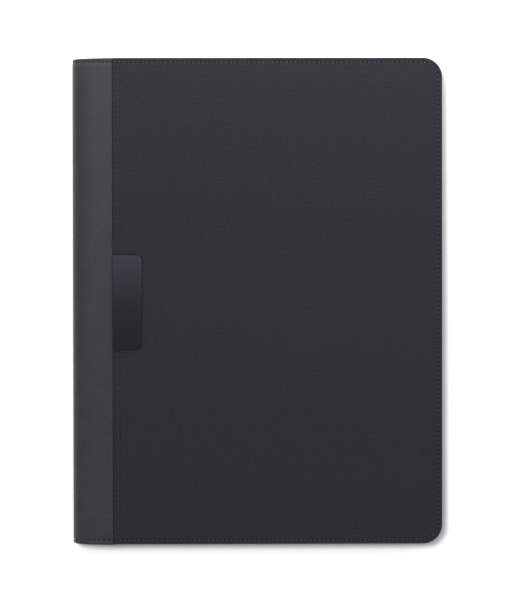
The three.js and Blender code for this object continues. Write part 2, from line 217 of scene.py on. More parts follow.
class Outline:
    """Places round a cover at any inset, from its tail on and, if it is folded, back down its spine side."""

    def __init__(self, left, right, half, radius, folded):
        self.left, self.right, self.half, self.radius = left, right, half, radius
        self.stations = []
        straight = right - radius - left
        fore = 2 * (half - radius)
        corner = (radius - STITCH_INSET) * math.pi / 2
        lengths = {
            "tail": straight,
            "tail_corner": corner,
            "fore": fore,
            "head_corner": corner,
            "head": straight,
        }
        for kind, length in lengths.items():
            self._run(kind, length, EDGE_PITCH)
        if folded:
            self._run("fold", 2 * half, SEAM_PITCH)
        else:
            self.stations.append(("head", 1.0, 0))

    def _run(self, kind, length, pitch):
        count = STATIONS_A_STITCH * round(length / pitch)
        self.stations += [(kind, i / count, i) for i in range(count)]

    def place(self, kind, t, inset, fold_inset=0.0):
        """The point at a share of one stretch, at an inset from the edge."""
        corner_x = self.left + fold_inset
        arc_x, arc_y = self.right - self.radius, self.half - self.radius
        reach = self.radius - inset
        if kind in ("tail", "head"):
            share = t if kind == "tail" else 1 - t
            y = self.half - inset
            return corner_x + share * (arc_x - corner_x), -y if kind == "tail" else y
        if kind == "tail_corner":
            angle = (t - 1) * math.pi / 2
            return arc_x + reach * math.cos(angle), -arc_y + reach * math.sin(angle)
        if kind == "fore":
            return self.right - inset, arc_y * (2 * t - 1)
        if kind == "head_corner":
            angle = t * math.pi / 2
            return arc_x + reach * math.cos(angle), arc_y + reach * math.sin(angle)
        return corner_x, (self.half - inset) * (1 - 2 * t)

    def holes(self, z, side, fold_inset=0.0):
        """The stitches' holes at a height, those along the turned edges and those along the fold."""
        edge, fold = [], []
        for kind, t, station in self.stations:
            if station % STATIONS_A_STITCH == 0:
                place = self.place(kind, t, STITCH_INSET, fold_inset)
                (fold if kind == "fold" else edge).append(((*place, z), (0, 0, side)))
        return edge, fold


def settle(piece, body, node=None):
    """A piece rides a body and may replace a node of the frame."""
    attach(piece, body)
    if node:
        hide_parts(node)


def fold_depth(kind, t, edge, fold):
    """The depth at a station: that of the folded spine side, or that of the turned edges."""
    return fold if kind == "fold" and t > 0 else edge


# Stitches


class Thread:
    """Sewn stitches along runs of holes. Each hole is a point and the direction away from the sheet."""

    SIDES = 8
    ALONG = (0.19, 0.25, 0.35, 0.5, 0.65, 0.75, 0.81)
    END_THICKNESS = 0.6
    FLATTENED = 0.85
    BOW = 0.42 * MM
    # A flat dark disc at each hole: painted shade for the inside of the needle hole
    HOLE_SHADE_SIDES = 10
    HOLE_SHADE_RADIUS = 0.52 * MM
    HOLE_SHADE_LIFT = 0.03 * MM

    def __init__(self, size=1.0):
        self.size = size
        self.build = Build()

    def run(self, holes):
        """A stitch from each hole to the next, and a flat dark disc of painted shade at each hole."""
        for (start, up), (end, next_up) in zip(holes, holes[1:]):
            self._stitch(np.array(start), np.array(end), np.array(up) + np.array(next_up))
        neighbours = [hole[0] for hole in holes[1:]] + [holes[-2][0]]
        for (point, up), beside in zip(holes, neighbours):
            self._hole_shade_disc(np.array(point), np.array(up), np.array(beside) - np.array(point))

    def _stitch(self, start, end, up):
        up = up / np.linalg.norm(up)
        along = end - start
        side = np.cross(up, along)
        side /= np.linalg.norm(side)
        points, uvs = [], []
        for share in self.ALONG:
            bow = math.sin(math.pi * share)
            radius = self.size * THREAD_RADIUS * (self.END_THICKNESS + (1 - self.END_THICKNESS) * bow)
            middle = start + along * share + up * self.size * self.BOW * (bow - 0.6)
            for k in range(self.SIDES):
                angle = 2 * math.pi * k / self.SIDES
                around = math.cos(angle) * side + self.FLATTENED * math.sin(angle) * up
                points.append(middle + radius * around)
                uvs.append((share * np.linalg.norm(along), radius * angle))
        shape = (len(self.ALONG), self.SIDES, -1)
        self.build.grid(np.reshape(points, shape), uvs, closed=(False, True), cap="both", flip=True)

    def _hole_shade_disc(self, point, up, along):
        up = up / np.linalg.norm(up)
        east = self.size**2 * self.HOLE_SHADE_RADIUS * along / np.linalg.norm(along)
        north = self.FLATTENED * np.cross(up, east)
        angles = [2 * math.pi * k / self.HOLE_SHADE_SIDES for k in range(self.HOLE_SHADE_SIDES)]
        rim = [point + self.HOLE_SHADE_LIFT * up + math.cos(a) * east + math.sin(a) * north for a in angles]
        self.build.add(rim, np.zeros((self.HOLE_SHADE_SIDES, 2)), [range(self.HOLE_SHADE_SIDES)], finish=1)

    def make(self, name):
        return self.build.make(name, [thread_finish(), hole_shade_finish()])


# Materials


class Nodes:
    """Short calls for building one material's nodes."""

    def __init__(self, name):
        self.material = bpy.data.materials.new(name)
        self.material.use_nodes = True
        self.tree = self.material.node_tree
        self.shader = self.tree.nodes["Principled BSDF"]

    def node(self, kind, **settings):
        made = self.tree.nodes.new(kind)
        for key, value in settings.items():
            setattr(made, key, value)
        return made

    def link(self, source, target):
        self.tree.links.new(source, target)

    def put(self, value, target):
        """Links another node's output, or sets a plain value."""
        if isinstance(value, bpy.types.NodeSocket):
            self.link(value, target)
        else:
            target.default_value = value

    def math(self, operation, a, b=0.0):
        made = self.node("ShaderNodeMath", operation=operation)
        self.put(a, made.inputs[0])
        self.put(b, made.inputs[1])
        return made.outputs[0]

    def times(self, a, b):
        return self.math("MULTIPLY", a, b)

    def weighted(self, *parts):
        """The sum of some values, each times its own weight."""
        total, *rest = [self.times(value, weight) for value, weight in parts]
        for part in rest:
            total = self.math("ADD", total, part)
        return total

    def uv(self):
        """The place on the cut sheet, as its two lengths in millimetres."""
        split = self.node("ShaderNodeSeparateXYZ")
        self.link(self.node("ShaderNodeUVMap", uv_map="cut").outputs[0], split.inputs[0])
        return self.times(split.outputs[0], 1 / MM), self.times(split.outputs[1], 1 / MM)

    def vector(self, x, y, z=0.0):
        made = self.node("ShaderNodeCombineXYZ")
        for value, target in zip((x, y, z), made.inputs):
            self.put(value, target)
        return made.outputs[0]

    def noise(self, place, scale, detail=3.0, roughness=0.5):
        made = self.node("ShaderNodeTexNoise")
        self.link(place, made.inputs["Vector"])
        made.inputs["Scale"].default_value = scale
        made.inputs["Detail"].default_value = detail
        made.inputs["Roughness"].default_value = roughness
        return made.outputs[0]

    def ramp(self, value, low, high, at=(0.0, 1.0)):
        """A colour between two that are given as they are seen, by a value between two."""
        made = self.node("ShaderNodeValToRGB")
        for element, position, colour in zip(made.color_ramp.elements, at, (low, high)):
            element.position = position
            element.color = (*srgb(*colour), 1.0)
        self.link(value, made.inputs[0])
        return made.outputs[0]

    def bump(self, height, distance, strength):
        """The normal of a surface with that relief."""
        made = self.node("ShaderNodeBump")
        made.inputs["Strength"].default_value = strength
        made.inputs["Distance"].default_value = distance
        self.link(height, made.inputs["Height"])
        return made.outputs[0]

    def finish(self, **sockets):
        """Fills the shader's inputs and gives the material."""
        for key, value in sockets.items():
            self.put(value, self.shader.inputs[key.replace("_", " ")])
        return self.material


def srgb(red, green, blue):
    """A colour given as it is seen, from 0 to 255, as light."""
    shares = [c / 255 for c in (red, green, blue)]
    return tuple(((c + 0.055) / 1.055) ** 2.4 if c > 0.04045 else c / 12.92 for c in shares)


@cache
def twill_finish():
    """Two-over-two twill of fine charcoal yarn."""
    n = Nodes("charcoal_twill")
    x, y = n.uv()
    warp_pitch, weft_pitch, repeat, covered = 0.40, 0.44, 4.0, 1.5
    across, along = n.math("DIVIDE", x, warp_pitch), n.math("DIVIDE", y, weft_pitch)
    step = n.math("ADD", n.math("FLOOR", across), n.math("FLOOR", along))
    over = n.math("LESS_THAN", n.math("FLOORED_MODULO", step, repeat), covered)

    def rounded(value):
        """The height across a yarn: 1 at its middle, 0 at its sides."""
        centred = n.math("SUBTRACT", n.math("FRACT", value), 0.5)
        return n.math("SUBTRACT", 1.0, n.times(n.times(centred, centred), 4.0))

    warp = n.times(rounded(across), over)
    weft = n.times(rounded(along), n.math("SUBTRACT", 1.0, over))
    fibres = n.noise(n.vector(x, y), scale=4.0, detail=4.0, roughness=0.65)
    slub = n.noise(n.vector(n.times(x, 0.2), n.times(y, 2.2)), scale=0.9, detail=2.0)
    tone = n.weighted((over, 0.50), (fibres, 0.45), (slub, 0.25))
    relief = n.weighted((warp, 1.0), (weft, 1.0), (over, 0.3), (fibres, 0.5))
    return n.finish(
        Base_Color=n.ramp(tone, (3, 3, 6), (56, 56, 66), at=(0.2, 1.0)),
        Roughness=0.52,
        Normal=n.bump(relief, distance=0.14 * MM, strength=0.8),
        Specular_IOR_Level=0.34,
        Sheen_Weight=0.05,
        Sheen_Roughness=0.4,
    )


@cache
def leather_finish():
    """Smooth satin leather-look sheet with a fine pebbled grain."""
    n = Nodes("satin_leather")
    place = n.vector(*n.uv())
    grain = n.node("ShaderNodeTexVoronoi", feature="SMOOTH_F1")
    grain.inputs["Scale"].default_value = 1.5
    n.link(place, grain.inputs["Vector"])
    fine = n.noise(place, scale=2.5, detail=4.0, roughness=0.6)
    broad = n.noise(place, scale=0.09)
    tone = n.weighted((broad, 0.5), (fine, 0.5))
    relief = n.weighted((grain.outputs[0], 0.6), (fine, 0.5))
    return n.finish(
        Base_Color=n.ramp(tone, (47, 48, 51), (57, 58, 61), at=(0.3, 0.7)),
        Roughness=n.math("ADD", 0.34, n.times(fine, 0.12)),
        Normal=n.bump(relief, distance=0.08 * MM, strength=0.7),
        Specular_IOR_Level=0.33,
    )


@cache
def lining_finish():
    """Plain-woven charcoal lining."""
    n = Nodes("charcoal_lining")
    x, y = n.uv()
    two_yarns = 0.5
    turn = 2 * math.pi / two_yarns
    weave = n.times(n.math("SINE", n.times(x, turn)), n.math("SINE", n.times(y, turn)))
    fibres = n.noise(n.vector(x, y), scale=2.2, detail=4.0, roughness=0.6)
    broad = n.noise(n.vector(x, y), scale=0.05)
    tone = n.weighted((fibres, 0.85), (broad, 0.15))
    relief = n.weighted((weave, 0.5), (fibres, 1.0))
    return n.finish(
        Base_Color=n.ramp(tone, (50, 51, 56), (68, 69, 75), at=(0.3, 0.7)),
        Roughness=0.72,
        Normal=n.bump(relief, distance=0.08 * MM, strength=0.7),
        Sheen_Weight=0.2,
        Sheen_Roughness=0.5,
    )


@cache
def thread_finish():
    """Dark twisted thread, its colour lighter on the plies and darker in the grooves of the twist: painted
    shade.
    """
    n = Nodes("dark_thread")
    x, y = n.uv()
    turns, slant = 9.0, 2.0
    twist = n.math("SINE", n.times(n.math("ADD", x, n.times(y, slant)), turns))
    # Painted shade: the colour follows the twist, darker in its grooves
    tone = n.math("ADD", n.times(twist, 0.5), 0.5)
    return n.finish(
        Base_Color=n.ramp(tone, (40, 40, 45), (80, 81, 88)),
        Roughness=0.38,
        Normal=n.bump(twist, distance=0.05 * MM, strength=0.8),
        Specular_IOR_Level=0.6,
    )


@cache
def hole_shade_finish():
    """Painted shade: the dark inside a needle hole, laid on a flat disc over the hole."""
    n = Nodes("needle_hole_shade")
    x, _ = n.uv()
    return n.finish(
        Base_Color=n.ramp(x, (12, 12, 14), (18, 18, 21)),
        Roughness=0.9,
        Specular_IOR_Level=0.2,
    )


@cache
def shadow_line_finish():
    """Painted shadow: the dark line beside the tab, standing for the shade in the gap round it."""
    n = Nodes("painted_shadow_line")
    mottle = n.noise(n.vector(*n.uv()), scale=1.0)
    return n.finish(
        Base_Color=n.ramp(mottle, (22, 22, 26), (32, 32, 37)),
        Roughness=0.7,
        Specular_IOR_Level=0.15,
    )


@cache
def plate_finish():
    """Polished gunmetal with the faintest lengthwise brushing."""
    n = Nodes("gunmetal")
    x, y = n.uv()
    brushed = n.noise(n.vector(n.times(x, 6.0), n.times(y, 0.15)), scale=2.0)
    return n.finish(
        Base_Color=n.ramp(brushed, (63, 64, 71), (69, 70, 77), at=(0.35, 0.65)),
        Roughness=n.math("ADD", 0.18, n.times(brushed, 0.05)),
        Metallic=1.0,
        Normal=n.bump(brushed, distance=0.02 * MM, strength=0.1),
    )


@cache
def page_finish():
    """Ruled writing paper: faint grey-blue lines, a margin line and a perforated head."""
    n = Nodes("ruled_paper")
    x, y = n.uv()
    fibre = n.noise(n.vector(x, y), scale=1.6, detail=5.0, roughness=0.7)
    paper = n.ramp(fibre, (238, 236, 228), (247, 245, 239), at=(0.3, 0.7))
    head = PAD_HIGH.y / MM
    first_line = head - 44
    tear_y = head - 23
    margin_x = PAD_LOW.x / MM + 32

    def stripe(value, pitch, width):
        """1 on a line of that width at each pitch."""
        offset = n.math("SUBTRACT", n.math("FRACT", n.math("DIVIDE", value, pitch)), 0.5)
        return n.math("LESS_THAN", n.math("ABSOLUTE", offset), width / pitch / 2)

    def line(value, place, half_width):
        """1 on one line."""
        return n.math("LESS_THAN", n.math("ABSOLUTE", n.math("SUBTRACT", value, place)), half_width)

    def printed(under, share, colour, amount):
        """A colour, given as it is seen, laid over another where the share is 1."""
        mix = n.node("ShaderNodeMix", data_type="RGBA")
        n.link(n.times(share, amount), mix.inputs[0])
        n.link(under, mix.inputs[6])
        mix.inputs[7].default_value = (*srgb(*colour), 1.0)
        return mix.outputs[2]

    ruled = n.times(stripe(y, pitch=7.1, width=0.22), n.math("LESS_THAN", y, first_line))
    tear = n.times(line(y, tear_y, half_width=0.12), stripe(x, pitch=1.6, width=1.0))
    colour = printed(paper, n.math("MAXIMUM", ruled, tear), (140, 158, 184), 0.85)
    colour = printed(colour, line(x, margin_x, half_width=0.16), (206, 138, 142), 0.8)
    return n.finish(
        Base_Color=colour,
        Roughness=0.85,
        Normal=n.bump(fibre, distance=0.03 * MM, strength=0.5),
    )


@cache
def page_edge_finish():
    """The cut edges of the leaves."""
    n = Nodes("page_edges")
    x, y = n.uv()
    leaves = n.noise(n.vector(n.times(x, 0.02), n.times(y, 7.0)), scale=1.5, roughness=0.7)
    return n.finish(
        Base_Color=n.ramp(leaves, (196, 193, 184), (244, 242, 235), at=(0.3, 0.6)),
        Roughness=0.9,
        Normal=n.bump(leaves, distance=0.15 * MM, strength=0.9),
    )


def board_finish(name, low, high):
    """Pressed board with short dark fibres."""
    n = Nodes(name)
    place = n.node("ShaderNodeTexCoord").outputs["Object"]
    specks = n.noise(place, scale=900.0, detail=4.0, roughness=0.7)
    return n.finish(
        Base_Color=n.ramp(specks, low, high, at=(0.35, 0.65)),
        Roughness=0.9,
        Normal=n.bump(specks, distance=0.05 * MM, strength=0.6),
    )


@cache
def tape_finish():
    """Black bookbinding cloth tape."""
    n = Nodes("binding_tape")
    x, y = n.uv()
    turn = 14.0
    weave = n.times(n.math("SINE", n.times(x, turn)), n.math("SINE", n.times(y, turn)))
    fibre = n.noise(n.vector(x, y), scale=2.0)
    return n.finish(
        Base_Color=n.ramp(fibre, (26, 26, 29), (40, 40, 44), at=(0.3, 0.7)),
        Roughness=0.6,
        Normal=n.bump(weave, distance=0.05 * MM, strength=0.5),
    )


@cache
def elastic_finish():
    """Ribbed elastic: cords along the band, wrapped in fine yarn. Its colour follows the relief, darker in
    the grooves between cords and wraps: painted shade.
    """
    n = Nodes("ribbed_elastic")
    x, y = n.uv()
    rib_pitch, wrap_pitch = 1.3, 0.45
    ribs = n.math("ABSOLUTE", n.math("SINE", n.times(y, math.pi / rib_pitch)))
    wraps = n.math("SINE", n.times(x, 2 * math.pi / wrap_pitch))
    relief = n.weighted((ribs, 1.0), (wraps, 0.15))
    return n.finish(
        # Painted shade: the colour is darkest in the grooves between the cords
        Base_Color=n.ramp(relief, (22, 22, 25), (52, 52, 58), at=(0.1, 1.0)),
        Roughness=0.75,
        Normal=n.bump(relief, distance=0.25 * MM, strength=0.8),
        Sheen_Weight=0.2,
    )


# Outer sheets


def panel_rows():
    """The fabric's turned edge, and the thin fold at its spine side, row for row."""
    edge = rolled_edge(WRAP_DEPTH, 1.1 * MM, 0.8 * MM, hem=12 * MM, groove=STITCH_INSET, flat=5 * MM)
    groove = SEAM_INSET - FOLD_GAP
    fold = rolled_edge(1.3 * MM, 0.45 * MM, 0.4 * MM, hem=9 * MM, groove=groove, flat=6 * MM)
    return edge, (fold[0] + FOLD_GAP, *fold[1:])


def fabric_panel(cover):
    """Twill bonded over the board: turned in round three sides, folded where it laps over the leather."""
    outline = Outline(SEAM_X, FORE_X, HEAD_Y, CORNER_RADIUS, folded=True)
    edge, fold = panel_rows()
    build = Build()
    points, uvs = [], []
    for inset, depth, flat, share, f_inset, f_depth, f_flat, _ in zip(*edge, *fold):
        for kind, t, station in outline.stations:
            x, y = outline.place(kind, t, inset, f_inset)
            u, v = outline.place(kind, t, flat, f_flat)
            level = fold_depth(kind, t, depth, f_depth) + share * dimple(station)
            points.append((x, y, cover.z(level)))
            uvs.append((u, v))
    shape = (len(edge[0]), len(outline.stations), 3)
    build.grid(np.reshape(points, shape), uvs, closed=(False, True), cap="last", flip=cover.side < 0)
    panel = build.make(f"{cover.name}_panel", [twill_finish()])
    settle(panel, cover.body, f"{cover.name}_fabric")
    return outline


def panel_stitches(cover, outline):
    """The seam round the cover, and the seam that holds the fold down on the leather."""
    edge, fold = outline.holes(cover.z(THREAD_DEPTH), cover.side, SEAM_INSET)
    (x, y, z), up = edge[0]
    lap, lap_head = ((x - EDGE_PITCH, y, z), up), ((x - EDGE_PITCH, -y, z), up)
    runs = {
        "stitching": (1.0, [lap, *edge, fold[0], lap_head]),
        "fold_stitching": (FINE, [*fold, edge[0]]),
    }
    for name, (size, run) in runs.items():
        thread = Thread(size)
        thread.run(run)
        settle(thread.make(f"{cover.name}_{name}"), cover.body)


# The spine's curve, as an outer face followed from the middle of the spine

ANGLES = np.linspace(0, math.pi / 2, 200)
CURVE_X = FLAT_X - SPINE_REACH * np.cos(ANGLES)
CURVE_H = SPINE_BULGE * np.sin(ANGLES)
CURVE_S = np.append(0, np.cumsum(np.hypot(np.diff(CURVE_X), np.diff(CURVE_H))))
ARC_LENGTH = CURVE_S[-1]


def spine_place(cover, s, depth):
    """The point at a distance s round the leather from the spine's middle, and a depth under its face."""
    if s >= ARC_LENGTH:
        return FLAT_X + s - ARC_LENGTH, cover.z(LEATHER_RECESS + depth)
    angle = np.interp(s, CURVE_S, ANGLES)
    away = np.array((-math.cos(angle) / SPINE_REACH, math.sin(angle) / SPINE_BULGE))
    away /= np.linalg.norm(away)
    x = FLAT_X - SPINE_REACH * math.cos(angle) - away[0] * depth
    height = SPINE_BULGE * math.sin(angle) - away[1] * depth
    return x, MID_Z + cover.side * height


def spine_up(cover, s):
    """The direction away from the leather."""
    x, z = spine_place(cover, s, 0)
    inner_x, inner_z = spine_place(cover, s, MM)
    return (x - inner_x, 0, z - inner_z)


# The leather: where its seam is, how far it goes under the fold, and how it dips there
SEAM_S = ARC_LENGTH + SEAM_X - FLAT_X
LEATHER_STEP = EDGE_PITCH / STATIONS_A_STITCH
LEATHER_SHIFT = 0.22 * MM
LEATHER_OVERHANG = 0.12 * MM
LEATHER_DRAWN_IN = 0.6 * MM
UNDER_FOLD = 1.5 * MM
SOFT_TUCK = 0.15 * MM
FOLD_TUCK = 0.6 * MM


def leather_end(s, sign):
    """How far the leather's end lies inside the fabric's, which is most round the spine. It sits low."""
    broad, tight = 30 * MM, 6 * MM
    drawn_in = LEATHER_DRAWN_IN * (1 - smooth(s / broad)) + LEATHER_DRAWN_IN * (1 - smooth(s / tight))
    return drawn_in - LEATHER_OVERHANG + sign * LEATHER_SHIFT


def leather_columns():
    """Places round the leather: even up to the seam, then close together where it dips under the fold."""
    even = np.arange(0, SEAM_S - 0.1 * MM, LEATHER_STEP)
    return [*even, *np.linspace(SEAM_S, SEAM_S + FOLD_GAP, 4), SEAM_S + UNDER_FOLD]


def bend_with_spine(piece, cover, depth):
    """Bakes a half sheet's placing into its mesh. The spine's places at its middle and its end are worked
    out but not used.
    """
    x, z = spine_place(cover, 0, depth)
    end_x, end_z = spine_place(cover, ARC_LENGTH, depth)
    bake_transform(piece)


def leather_half(cover):
    """Half of the spine leather, from the spine's middle to just under the fabric's fold."""
    tuck_width = 5 * MM
    columns = []
    for s in leather_columns():
        station = s / LEATHER_STEP
        board = smooth((s - ARC_LENGTH) / UNDER_FOLD)
        wrap = SPINE_HEM_DEPTH + board * (WRAP_DEPTH - LEATHER_RECESS - SPINE_HEM_DEPTH)
        tuck = SOFT_TUCK * smooth((s - SEAM_S + tuck_width) / tuck_width)
        tuck += FOLD_TUCK * smooth((s - SEAM_S) / FOLD_GAP)
        column = []
        for sign in (-1, 1):
            end = leather_end(s, sign)
            insets, depths, flats, shares = rolled_edge(
                wrap, 0.8 * MM, 0.5 * MM, hem=10 * MM, groove=STITCH_INSET - end, flat=6 * MM
            )
            depths = depths + shares * dimple(station) + tuck * (depths < WRAP_DEPTH / 2)
            side = [
                (sign * (HEAD_Y - end - inset), depth, sign * (HEAD_Y - end - flat))
                for inset, depth, flat in zip(insets, depths, flats)
            ]
            column += side if sign < 0 else side[::-1]
        columns.append([(*spine_place(cover, s, depth), y, s, v) for y, depth, v in column])
    table = np.array(columns).transpose(1, 0, 2)
    build = Build()
    build.grid(table[:, :, [0, 2, 1]], table[:, :, [3, 4]], flip=cover.side < 0)
    half = build.make(f"{cover.name}_spine_leather", [leather_finish()])
    bend_with_spine(half, cover, 0)
    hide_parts(f"{cover.name}_leather", *(["spine_leather"] if cover.side > 0 else []))


def sew_round_spine(cover, thread, places, outward):
    """Stitches at head and tail through holes that are each a distance round the spine and a depth."""
    for y in (STITCH_INSET - HEAD_Y, HEAD_Y - STITCH_INSET):
        holes = []
        for s, depth in places:
            x, z = spine_place(cover, s, depth)
            up_x, _, up_z = spine_up(cover, s)
            holes.append(((x, y, z), (outward * up_x, 0, outward * up_z)))
        thread.run(holes)


def leather_stitches(cover):
    """The cover's edge seam carried on round the spine."""
    thread = Thread()
    count = int((SEAM_S - 0.3 * MM) / EDGE_PITCH)
    sew_round_spine(cover, thread, [(i * EDGE_PITCH, THREAD_DEPTH) for i in range(count + 1)], outward=1)
    stitches = thread.make(f"{cover.name}_spine_stitching")
    bend_with_spine(stitches, cover, 0)


# Lining

# Rows from its edge inwards, in millimetres: inset, relief, and the share of the stitches' dimples
LINING_ROWS = [
    (1.35, 0.10, 0),
    (1.05, 0.12, 0),
    (1.00, 0.30, 0),
    (1.04, 0.55, 0),
    (1.20, 0.68, 0),
    (1.50, 0.70, 0),
    (2.35, 0.64, 0.5),
    (2.75, 0.48, 1),
    (3.15, 0.64, 0.5),
    (3.60, 0.70, 0),
    (11.8, 0.70, 0),
    (12.6, 0.62, 0),
    (13.2, 0.35, 0),
    (13.8, 0.08, 0),
    (14.6, 0.00, 0),
]


def lining_rows():
    """Insets, how far the lining stands off its middle level, and the share of the stitches' dimples."""
    insets, reliefs, shares = np.array(LINING_ROWS).T
    return insets * MM, reliefs * MM, shares


def lining_panel(cover):
    """The flat of a cover's lining, with the turned edges showing through it."""
    outline = Outline(LINING_JOIN_X, FORE_X, HEAD_Y, CORNER_RADIUS, folded=False)
    points, uvs = [], []
    insets, reliefs, shares = lining_rows()
    for inset, relief, share in zip(insets, reliefs, shares):
        for kind, t, station in outline.stations:
            x, y = outline.place(kind, t, inset)
            points.append((x, y, cover.z(LINING_DEPTH + relief - share * dimple(station))))
            uvs.append((x, y))
    build = Build()
    shape = (len(insets), len(outline.stations), 3)
    build.grid(np.reshape(points, shape), uvs, cap="last", flip=cover.side > 0)
    panel = build.make(f"{cover.name}_lining_panel", [lining_finish()])
    settle(panel, cover.body, f"{cover.name}_lining")
    thread = Thread(FINE)
    edge, _ = outline.holes(cover.z(LINING_DEPTH + LINING_THREAD), -cover.side)
    thread.run(edge)
    settle(thread.make(f"{cover.name}_lining_stitching"), cover.body)


def gusset_depth(s):
    """How deep the lining's inner face lies under the leather's face, from the spine onto the board."""
    clear, rise = 0.2 * MM, 4.0 * MM
    board = LINING_DEPTH - LEATHER_RECESS
    rise_end = ARC_LENGTH + BOARD_X - FLAT_X - clear
    return GUSSET_DEPTH + (board - GUSSET_DEPTH) * smooth(1 + (s - rise_end) / rise)


def gusset_inset(inset, s, sign):
    """An inset of the lining, drawn in so that the leather's end hides the lining's edge."""
    outermost, hidden_by = LINING_ROWS[2][0] * MM, 0.4 * MM
    edge = max(outermost, leather_end(s, sign) + hidden_by)
    if inset >= STITCH_INSET:
        return inset
    return STITCH_INSET - (STITCH_INSET - inset) * (STITCH_INSET - edge) / (STITCH_INSET - outermost)


JOIN_S = ARC_LENGTH + LINING_JOIN_X - FLAT_X
GUSSET_STATIONS = STATIONS_A_STITCH * round(JOIN_S / EDGE_PITCH)


def gusset_half(cover):
    """Half of the lining round the spine, from its middle to the flat of the cover."""
    table = []
    for sign in (-1, 1):
        rows = list(zip(*lining_rows()))
        for inset, relief, share in rows if sign < 0 else rows[::-1]:
            row = []
            for station in range(GUSSET_STATIONS + 1):
                s = JOIN_S * station / GUSSET_STATIONS
                x, z = spine_place(cover, s, gusset_depth(s) + relief - share * dimple(station))
                y = sign * (HEAD_Y - gusset_inset(inset, s, sign))
                row.append((x, y, z, LINING_JOIN_X - JOIN_S + s, y))
            table.append(row)
    table = np.array(table)
    build = Build()
    build.grid(table[:, :, :3], table[:, :, 3:], flip=cover.side > 0)
    half = build.make(f"{cover.name}_spine_lining", [lining_finish()])
    bend_with_spine(half, cover, GUSSET_DEPTH)
    if cover.side > 0:
        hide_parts("spine_lining")


def gusset_stitches(cover):
    """The lining's seam carried on round the spine."""
    thread = Thread(FINE)
    distances = [JOIN_S * i / GUSSET_STATIONS for i in range(0, GUSSET_STATIONS + 1, STATIONS_A_STITCH)]
    places = [(s, gusset_depth(s) + LINING_THREAD) for s in distances]
    sew_round_spine(cover, thread, places, outward=-1)
    stitches = thread.make(f"{cover.name}_gusset_stitching")
    bend_with_spine(stitches, cover, GUSSET_DEPTH)


# Flat pieces with rounded edges


def inset_outline(points, inset):
    """A closed outline moved inwards by an inset, or one inset for each point."""
    points = np.asarray(points, float)
    before, after = points - np.roll(points, 1, 0), np.roll(points, -1, 0) - points
    before /= np.linalg.norm(before, axis=1)[:, None]
    after /= np.linalg.norm(after, axis=1)[:, None]
    inward_a = np.stack([-before[:, 1], before[:, 0]], 1)
    inward_b = np.stack([-after[:, 1], after[:, 0]], 1)
    mitre = inward_a + inward_b
    mitre /= (mitre * inward_a).sum(1)[:, None]
    return points + mitre * np.reshape(inset, (-1, 1))


def arc(x, y, radius, start, end, count=8):
    angles = np.radians(np.linspace(start, end, count))
    return [(x + radius * math.cos(a), y + radius * math.sin(a)) for a in angles]


def rounded_rectangle(low, high, fore, spine, between=0):
    """A rectangle from its fore tail corner on. Each side's corners have a radius and a number of points."""
    outline = []
    for x, first, last, (radius, count), inward, start in (
        (high.x, low.y, high.y, fore, -1, -90),
        (low.x, high.y, low.y, spine, 1, 90),
    ):
        reach = inward * radius
        start_y, end_y = first - reach, last + reach
        outline += arc(x + reach, start_y, radius, start, start + 90, count)
        outline += [(x, y) for y in np.linspace(start_y, end_y, between + 2)[1:-1]]
        outline += arc(x + reach, end_y, radius, start + 90, start + 180, count)
    return outline


def slab_rows(outline, rows):
    """Points of an outline at rows of (inset, z)."""
    return np.array([[(*p, z) for p in inset_outline(outline, inset)] for inset, z in rows])


def add_slab(build, outline, low, high, rounding):
    """A flat piece with its edges rounded over."""
    turn = np.radians(np.linspace(0, 90, 5))
    rows = [(rounding * (1 - math.sin(a)), low + rounding * (1 - math.cos(a))) for a in turn]
    rows += [(rounding * (1 - math.cos(a)), high - rounding * (1 - math.sin(a))) for a in turn]
    build.grid(slab_rows(outline, rows), closed=(False, True), cap="both")


def sewn_line(thread, start, end, z, up):
    """A straight line of stitches."""
    start, end = np.array(start), np.array(end)
    count = max(1, round(np.linalg.norm(end - start) / INNER_PITCH))
    thread.run([((*(start + (end - start) * i / count), z), (0, 0, up)) for i in range(count + 1)])


# The metal tab
TAB_THICKNESS = 0.9 * MM
TAB_CROWN = 0.22 * MM
TAB_WALL = 0.42 * MM
TAB_BEVEL = 0.3 * MM
TAB_FORE_SLOPE = 2.2 * MM
TAB_CORNER = 4.3 * MM
TAB_SPINE_CORNER = 0.9 * MM
# A dark strip past the tab's head and fore side: painted shadow
SHADOW_LINE_RIM = 0.55 * MM
SHADOW_LINE_HEIGHT = 0.16 * MM


def tab_rows():
    """The tab's section, row for row: the share of its bevel that is passed, an inset and a height."""
    chamfer = 0.12 * MM
    rows = [(0.0, chamfer, 0.0), (0.0, 0.0, chamfer), (0.0, 0.0, TAB_WALL - 0.02 * MM)]
    for share in (0.05, 0.15, 0.3, 0.5, 0.7, 0.85, 0.95, 1.05, 1.3):
        rise = min(share, 1.0) - 0.5 * max(0.0, share - 0.85) ** 2
        rows.append((share, 0.0, TAB_WALL + (TAB_THICKNESS - TAB_WALL) * min(1.0, rise)))
    return rows


